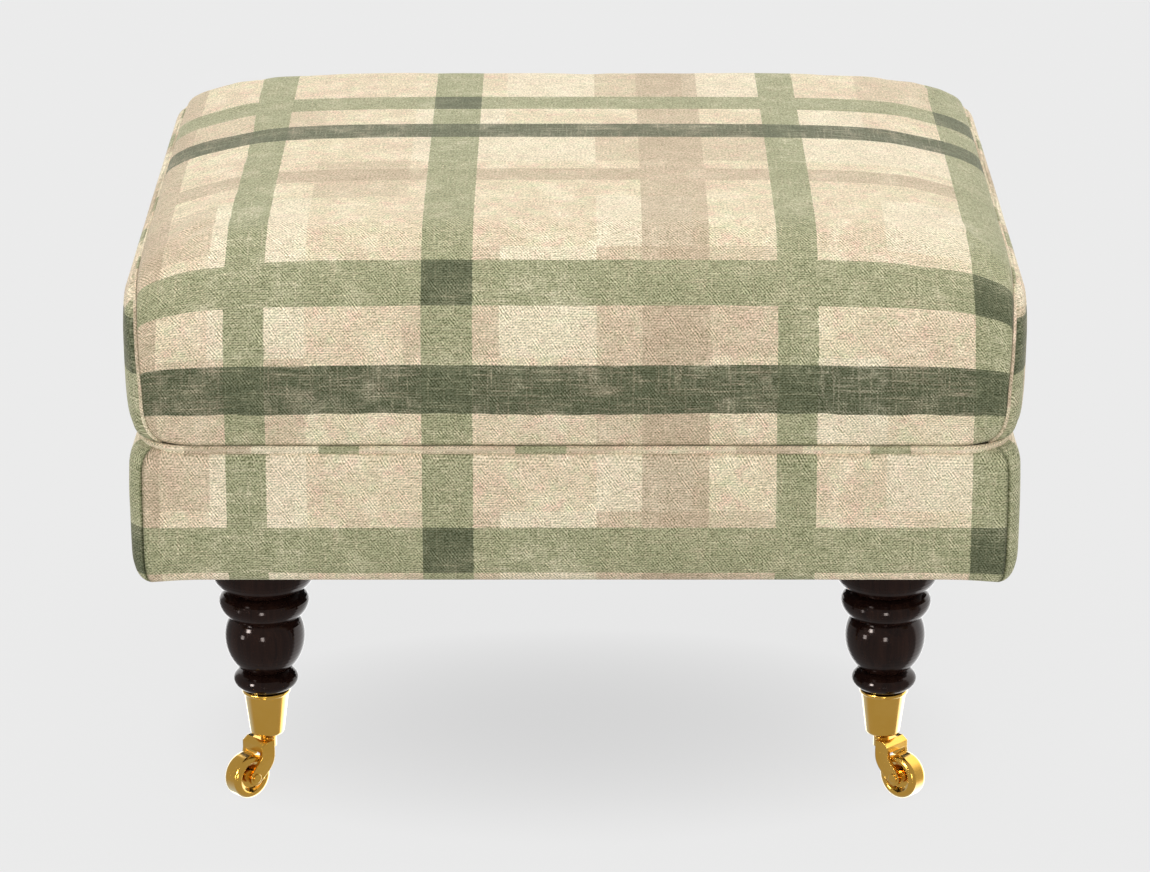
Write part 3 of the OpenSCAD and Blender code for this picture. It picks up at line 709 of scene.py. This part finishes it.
def tube(name, node, path, radius, closed, shift):
    """A cord wrapped in a bias strip, along a path: the strip's folds turn slowly round it."""
    count = len(path)
    ahead = np.roll(path, -1, 0) - np.roll(path, 1, 0)
    if not closed:
        ahead[0], ahead[-1] = path[1] - path[0], path[-1] - path[-2]
    ahead /= np.linalg.norm(ahead, axis=1, keepdims=True)
    length = arc(path)
    angle = np.arange(TUBE_SIDES) * 2 * np.pi / TUBE_SIDES
    side = np.cross(ahead[0], (0, 0, 1) if abs(ahead[0][2]) < 0.9 else (1, 0, 0))
    rings = []
    for i in range(count):
        side = side - ahead[i] * np.dot(side, ahead[i])
        side /= np.linalg.norm(side)
        other = np.cross(ahead[i], side)
        folds = 0.03 * np.sin(length[i] / 3.1 + 2 * angle)
        wobble = 1 + folds + 0.02 * np.sin(length[i] / 11.0 + shift)
        out = np.cos(angle)[:, None] * side + np.sin(angle)[:, None] * other
        rings.append(path[i] + radius * wobble[:, None] * out)
    along, round_it = length + shift, angle * radius + shift / 3 - 10
    uvs = np.stack(np.broadcast_arrays(along[:, None], round_it[None, :]), -1)
    faces = grid_faces(count, TUBE_SIDES, closed_m=closed, closed_n=True)
    if not closed:
        faces += end_caps(count, TUBE_SIDES)
    piece = add_piece(name, np.concatenate(rings), faces, PIPING, cloth=uvs.reshape(-1, 2))
    stand_in(piece, node)


for side, word in SIDES:
    path = np.c_[side * SEAM_X, OUTLINE_SIDE]
    # It lies a little inside the seam, and less deep towards the foot
    path[:, 1] *= (seam_y - SEAM_DEPTH) / seam_y
    path[:, 2] -= SEAM_DEPTH * np.clip((path[:, 2] - foot_z) / DEPTH_RISE, 0, 1)
    tube(f"side_seam_piping_{word}", f"seam_piping_{word}", round_foot(path), SEAM_CORD,
         closed=False, shift=13.0 * side)


def rounded_loop(hx, hy, radius, gap):
    """Points round a rectangle with round corners, counter-clockwise from the right side's back
    end. hx, hy: half of its size. gap: distance of the points on the straight sides."""
    points = []
    corners = [(hx - radius, hy - radius, 0), (radius - hx, hy - radius, 90),
               (radius - hx, radius - hy, 180), (hx - radius, radius - hy, 270)]
    for n, (x, y, start) in enumerate(corners):
        turn = np.radians(start + np.linspace(0, 90, 13))
        bend = np.c_[x + radius * np.cos(turn), y + radius * np.sin(turn)]
        nx, ny, degrees = corners[(n + 1) % 4]
        facing = math.radians(degrees)
        to = np.array([nx + radius * math.cos(facing), ny + radius * math.sin(facing)])
        steps = max(2, int(np.linalg.norm(to - bend[-1]) / gap))
        line = bend[-1] + (to - bend[-1]) * (np.arange(1, steps) / steps)[:, None]
        points += [bend, line]
    return np.vstack(points)


joint_low, joint_high = box_mm("joint_piping")
joint_r = (joint_high[2] - joint_low[2]) / 2
loop = rounded_loop(joint_high[0] - joint_r - JOINT_SHIFT, joint_high[1] - joint_r + JOINT_SHIFT,
                    JOINT_CORNER, gap=4.0)
path = np.c_[loop, np.full(len(loop), (joint_high[2] + joint_low[2]) / 2 - JOINT_DROP)]
tube("base_piping", "joint_piping", path, joint_r + JOINT_GROWN, closed=True, shift=40.0)


# Base borders

base_low, base_high = box_mm("border_right")
base_z, border_h = base_low[2], base_high[2] - base_low[2]
BORDER_INSET = 2.7  # from the node's box to the widest line
base_x, base_y = base_high[0] - BORDER_INSET, base_high[1] - BORDER_INSET
BORDER_ROWS, BORDER_STEP = 33, 6
CORNER = 15.0
CORNER_GROWTH, GROWTH_FADE = 19.0, 6.0  # of the corner's radius towards the top
CORNER_REACH = 26.0  # of the wrapped corners, sideways
BORDER_LIFT, LIFT_REACH, LEAN_REACH = 2.0, 40.0, 32.0
BORDER_SHIFT_U, BORDER_SHIFT_V = 34, 96  # of the print
LOW_ROLL, TOP_ROLL = 27.0, 10.0  # heights of the turned-in edges
LOW_INSET, TOP_INSET = 12.0, 7.0
LOW_END, TOP_START = 0.36, 0.84  # shares of the rows
CORNER_SEAM = 6.5  # from the end of a corner's bend to the seam

OUTLINE = rounded_loop(base_x, base_y, CORNER, gap=1.0)
OUTLINE = np.vstack([OUTLINE, OUTLINE[:1]])
OUTLINE_RUN = arc(OUTLINE)
OUTLINE_LENGTH = OUTLINE_RUN[-1]


def border_profile():
    """Inset from the widest line and height, from the turned-in bottom to the turned-in top."""
    inset = np.zeros(BORDER_ROWS)
    height = np.zeros(BORDER_ROWS)
    for n, q in enumerate(np.linspace(0, 1, BORDER_ROWS)):
        if q < LOW_END:
            a = q / LOW_END * np.pi / 2
            inset[n] = LOW_INSET * (1 - math.sin(a)) ** 1.25
            height[n] = LOW_ROLL * (1 - math.cos(a))
        elif q < TOP_START:
            t = (q - LOW_END) / (TOP_START - LOW_END)
            height[n] = LOW_ROLL + (border_h - LOW_ROLL - TOP_ROLL) * t
        else:
            a = (q - TOP_START) / (1 - TOP_START) * np.pi / 2
            inset[n] = TOP_INSET * (1 - math.cos(a))
            height[n] = border_h - TOP_ROLL + TOP_ROLL * math.sin(a)
    return inset, height


INSETS, HEIGHTS = border_profile()


def border_points(start, end):
    """Panel round part of the base, between two lengths along its outline, and its lengths."""
    at = np.linspace(start, end, int((end - start) / BORDER_STEP) + 1)
    xy = [np.interp(at % OUTLINE_LENGTH, OUTLINE_RUN, OUTLINE[:, n]) for n in (0, 1)]
    grid = np.zeros((len(at), BORDER_ROWS, 3))
    below = border_h - HEIGHTS
    radius = CORNER + CORNER_GROWTH * np.exp(-below / GROWTH_FADE)
    low = np.clip(1 - HEIGHTS / LIFT_REACH, 0, 1) ** 2
    lean = np.clip(1 - below / LEAN_REACH, 0, 1) ** 1.3
    for n, spot in enumerate(zip(*xy)):
        size, sign = np.abs(spot), np.sign(spot)
        # Near a corner the rolled edge wraps right round the frame's corner
        to_corner = math.hypot(base_x - size[0], base_y - size[1])
        near = math.exp(-(to_corner / CORNER_REACH) ** 2)
        inward = INSETS * np.where(HEIGHTS < 30, 1 - 0.1 * near, 1) + lean
        past = size - np.stack([base_x - radius, base_y - radius], -1)
        outward = np.maximum(past, 0)
        outward /= np.linalg.norm(outward, axis=1, keepdims=True)
        at_corner = past.min(1, keepdims=True) > 0
        grown = np.where(at_corner, outward * (radius - inward)[:, None] - past,
                         -outward * inward[:, None])
        grid[n, :, :2] = (size + grown) * sign
        grid[n, :, 2] = base_z + HEIGHTS + BORDER_LIFT * (1 - 1.1 * near) * low
    return grid, at


# The corner seams as lengths along the outline, which starts at the right side's back end
straight_x, straight_y = 2 * (base_x - CORNER), 2 * (base_y - CORNER)
quarter = CORNER * np.pi / 2
back_start = quarter - CORNER_SEAM
back_end = quarter + straight_x + CORNER_SEAM
left_end = 3 * quarter + straight_x + straight_y - CORNER_SEAM
front_end = 3 * quarter + 2 * straight_x + straight_y + CORNER_SEAM
BORDERS = {"back": (back_start, back_end), "left": (back_end, left_end),
           "front": (left_end, front_end), "right": (front_end, back_start + OUTLINE_LENGTH)}

for word, (start, end) in BORDERS.items():
    grid, at = border_points(start, end)
    u = at - (start + end) / 2 + (0 if word == "front" else BORDER_SHIFT_U)
    v = arc(np.c_[INSETS, HEIGHTS]) + BORDER_SHIFT_V
    uvs = np.stack(np.broadcast_arrays(u[:, None], v[None, :]), -1)
    panel = soften(grid, pressure=2.0, cap=1.2, flip=False)
    add_panel(f"base_border_{word}", f"border_{word}", panel, uvs)


# Foam, deck and cloth underneath

FOAM_MID_BEND, FOAM_SIDE_BEND, FOAM_CORNER = 84.0, 58.0, 14.0

low, high = box_mm("pad_foam")
foam_mid = whole(half_outline(high[1] - 1.5, high[2] - 6.0, FOAM_MID_BEND, draw=5.0, crown=4.0))
foam_side = whole(half_outline(high[1] - 8.0, high[2] - 42.0, FOAM_SIDE_BEND))
grid = sections(foam_side, foam_mid, 41, high[0] - 3.0)
grid[:, [0, -1], 2] = low[2]
faces = grid_faces(len(grid), ROWS, closed_n=True) + end_caps(len(grid), ROWS)
piece = add_piece("foam_block", round_foot(grid, FOAM_CORNER).reshape(-1, 3), faces, FOAM)
stand_in(piece, "pad_foam")

PUCKER, PUCKER_WAVE, PUCKER_FADE = 0.18, 9.0, 14.0
HOLE_GAP = 0.3


def flat_sheet(name, node, material, cell, holes=()):
    """A stretched sheet of cloth in a node's box, a little puckered, with round holes."""
    low, high = box_mm(node)
    nx, ny = int((high[0] - low[0]) / cell) + 1, int((high[1] - low[1]) / cell) + 1
    x, y = np.meshgrid(np.linspace(low[0], high[0], nx), np.linspace(low[1], high[1], ny),
                       indexing="ij")
    pucker = PUCKER * np.sin(x / PUCKER_WAVE) * np.exp(-(high[1] - np.abs(y)) / PUCKER_FADE)
    pucker += PUCKER * np.sin(y / PUCKER_WAVE) * np.exp(-(high[0] - np.abs(x)) / PUCKER_FADE)
    points = np.stack([x, y, (low[2] + high[2]) / 2 + pucker], -1).reshape(-1, 3)
    gone = np.zeros(len(points), bool)
    for cx, cy, r in holes:
        away = points[:, :2] - (cx, cy)
        distance = np.linalg.norm(away, axis=1)
        gone |= distance < r - 0.55 * cell
        ring = (distance >= r - 0.55 * cell) & (distance < r + 0.5 * cell)
        points[ring, :2] = (cx, cy) + away[ring] * (r / distance[ring])[:, None]
    faces = [f for f in grid_faces(nx, ny, flip=True) if not gone[list(f)].any()]
    used = np.unique(np.array(faces))
    new = np.full(len(points), -1)
    new[used] = np.arange(len(used))
    faces = [tuple(int(new[i]) for i in f) for f in faces]
    piece = add_piece(name, points[used], faces, material)
    stand_in(piece, node)


holes = []
for word in ("front_left", "front_right", "back_left", "back_right"):
    low, high = box_mm(f"leg_{word}")
    x, y, _ = (low + high) / 2
    holes.append((x, y, (high[0] - low[0]) / 2 + HOLE_GAP))
flat_sheet("dust_cloth", "dust_cover", BLACK, 5.0, holes)
flat_sheet("hessian_sheet", "hessian", HESSIAN, 12.0)

STRAP_POINTS, STRAP_LIFT, STRAP_WAVE = 101, 0.12, 32


def straps(name, node, axis):
    """Webbing straps side by side along an axis, each of them slightly wavy."""
    low, high = box_mm(node)
    corners = np.array([v.co for v in frame["nodes"][node].data.vertices]) / MM
    edges = np.unique(np.round(corners[:, axis], 1)).reshape(-1, 2)
    middle, thick = (low[2] + high[2]) / 2, (high[2] - low[2]) / 2
    run = np.linspace(low[1 - axis], high[1 - axis], STRAP_POINTS)
    points, faces = [], []
    for n, (a, b) in enumerate(edges):
        lift = STRAP_LIFT * np.sin(run / STRAP_WAVE + n * np.pi)
        start = len(points)
        for i in range(STRAP_POINTS):
            bottom, top = middle + lift[i] - thick * 0.8, middle + lift[i] + thick * 0.75
            for across, height in ((a, bottom), (a + 1, top), (b - 1, top), (b, bottom)):
                points.append((run[i], across, height) if axis else (across, run[i], height))
        faces += grid_faces(STRAP_POINTS, 4, closed_n=True, start=start)
        last = start + (STRAP_POINTS - 1) * 4
        faces += [(start, start + 3, start + 2, start + 1), (last, last + 1, last + 2, last + 3)]
    piece = add_piece(name, points, faces, JUTE, smooth=False)
    stand_in(piece, node)


straps("straps_lengthwise", "webbing_lengthwise", 1)
straps("straps_crosswise", "webbing_crosswise", 0)


# Floor, light and camera

BACKDROP = 0.831
GLOSS_FRONT, GLOSS_BACK = 0.5, 2.1
FLOOR_HALF = 14.0
# The ellipse of floor that keeps its shadow, and how much of it is kept in the middle
SHADOW_HALF_X, SHADOW_HALF_Y, SHADOW_Y = 0.36, 0.235, -0.125
SHADOW_KEPT = 0.27
# Lamps that only glossy surfaces see: direction, size in degrees and strength
LAMPS = [((-0.69, -0.59, 0.41), 5.5, 50.0), ((-0.05, -1.0, 0.05), 4.5, 20.0),
         ((-0.89, -0.45, 0.04), 4.5, 16.0)]


def floor():
    """A pale floor that keeps the stool's shadow. Further out the camera sees the backdrop."""
    h = FLOOR_HALF
    mesh = bpy.data.meshes.new("floor")
    mesh.from_pydata([(-h, -h, 0), (h, -h, 0), (h, h, 0), (-h, h, 0)], [], [(0, 1, 2, 3)])
    piece = bpy.data.objects.new("floor", mesh)
    scene.collection.objects.link(piece)
    mat = bpy.data.materials.new("pale_floor")
    s = Nodes(mat)
    lit = s.node("ShaderNodeBsdfDiffuse")
    s.feed(lit.inputs["Color"], (0.72, 0.72, 0.72))
    glow = s.node("ShaderNodeEmission")
    s.feed(glow.inputs["Color"], (BACKDROP,) * 3)
    x, y, _ = s.split(s.place())
    across = s.times(x, 1 / SHADOW_HALF_X)
    deep = s.times(s.plus(y, -SHADOW_Y), 1 / SHADOW_HALF_Y)
    out_sq = s.scaled(across, across, s.times(deep, deep))
    inner = s.scaled(out_sq, -SHADOW_KEPT, SHADOW_KEPT)
    kept = s.larger(inner, s.range(out_sq, 0.0, 6.0, 0.05, 0.02))
    camera_ray = s.node("ShaderNodeLightPath").outputs["Is Camera Ray"]
    glowing = s.times(camera_ray, s.minus(1.0, kept))
    out = s.node("ShaderNodeOutputMaterial")
    s.feed(out.inputs["Surface"], s.blend(glowing, lit.outputs[0], glow.outputs[0]))
    mesh.materials.append(mat)
    piece.visible_glossy = False


def world():
    """Even light. Glossy surfaces see a dim studio in front, a bright one behind, and lamps."""
    scene.world = bpy.data.worlds.new("studio")
    s = Nodes(scene.world)
    x, y, z = s.split(s.node("ShaderNodeTexCoord").outputs["Generated"])
    level = s.range(s.scaled(x, 0.45, y), 0.44, 0.58, GLOSS_FRONT, GLOSS_BACK, smooth=True)
    for place, size, strength in LAMPS:
        a, b, c = Vector(place).normalized()
        toward = s.scaled(x, a, s.scaled(y, b, s.times(z, c)))
        edge, full = [math.cos(math.radians(size * k)) for k in (1.4, 0.6)]
        level = s.plus(level, s.range(toward, edge, full, 0.0, strength, smooth=True))

    def background(grey, strength=1.0):
        n = s.node("ShaderNodeBackground")
        s.feed(n.inputs["Color"], (grey,) * 3)
        s.feed(n.inputs["Strength"], strength)
        return n.outputs[0]

    rays = s.node("ShaderNodeLightPath").outputs
    light = s.blend(rays["Is Glossy Ray"], background(0.76), background(1.0, level))
    seen = s.larger(rays["Is Camera Ray"], rays["Is Transmission Ray"])
    out = s.node("ShaderNodeOutputWorld")
    s.feed(out.inputs["Surface"], s.blend(seen, light, background(BACKDROP)))


def sun(name, source, strength, spread):
    """Even soft light from a direction, which glossy surfaces don't see."""
    data = bpy.data.lights.new(name, "SUN")
    data.energy = strength
    data.angle = math.radians(spread)
    lamp = bpy.data.objects.new(name, data)
    lamp.visible_glossy = False
    scene.collection.objects.link(lamp)
    lamp.rotation_euler = Vector([-c for c in source]).to_track_quat("-Z", "Y").to_euler()


floor()
world()
sun("sky", (0.05, 0.35, 1.0), 1.15, 60)
sun("front_left", (-0.55, -0.8, 0.5), 0.42, 40)
sun("front_right", (0.5, -0.85, 0.4), 0.33, 40)

# The photograph's focal length and width in pixels, on a 36 mm sensor
FOCAL, WIDTH, SENSOR = 4443.0, 1150.0, 36.0
camera = bpy.data.cameras.new("camera")
camera.sensor_width = SENSOR
camera.lens = FOCAL / WIDTH * SENSOR
camera.clip_end = 60.0
view = bpy.data.objects.new("camera", camera)
scene.collection.objects.link(view)
view.location = (0.0, -3.3875, 1.438)
view.rotation_euler = (math.radians(70), 0, 0)
scene.camera = view
scene.view_settings.view_transform = "Standard"
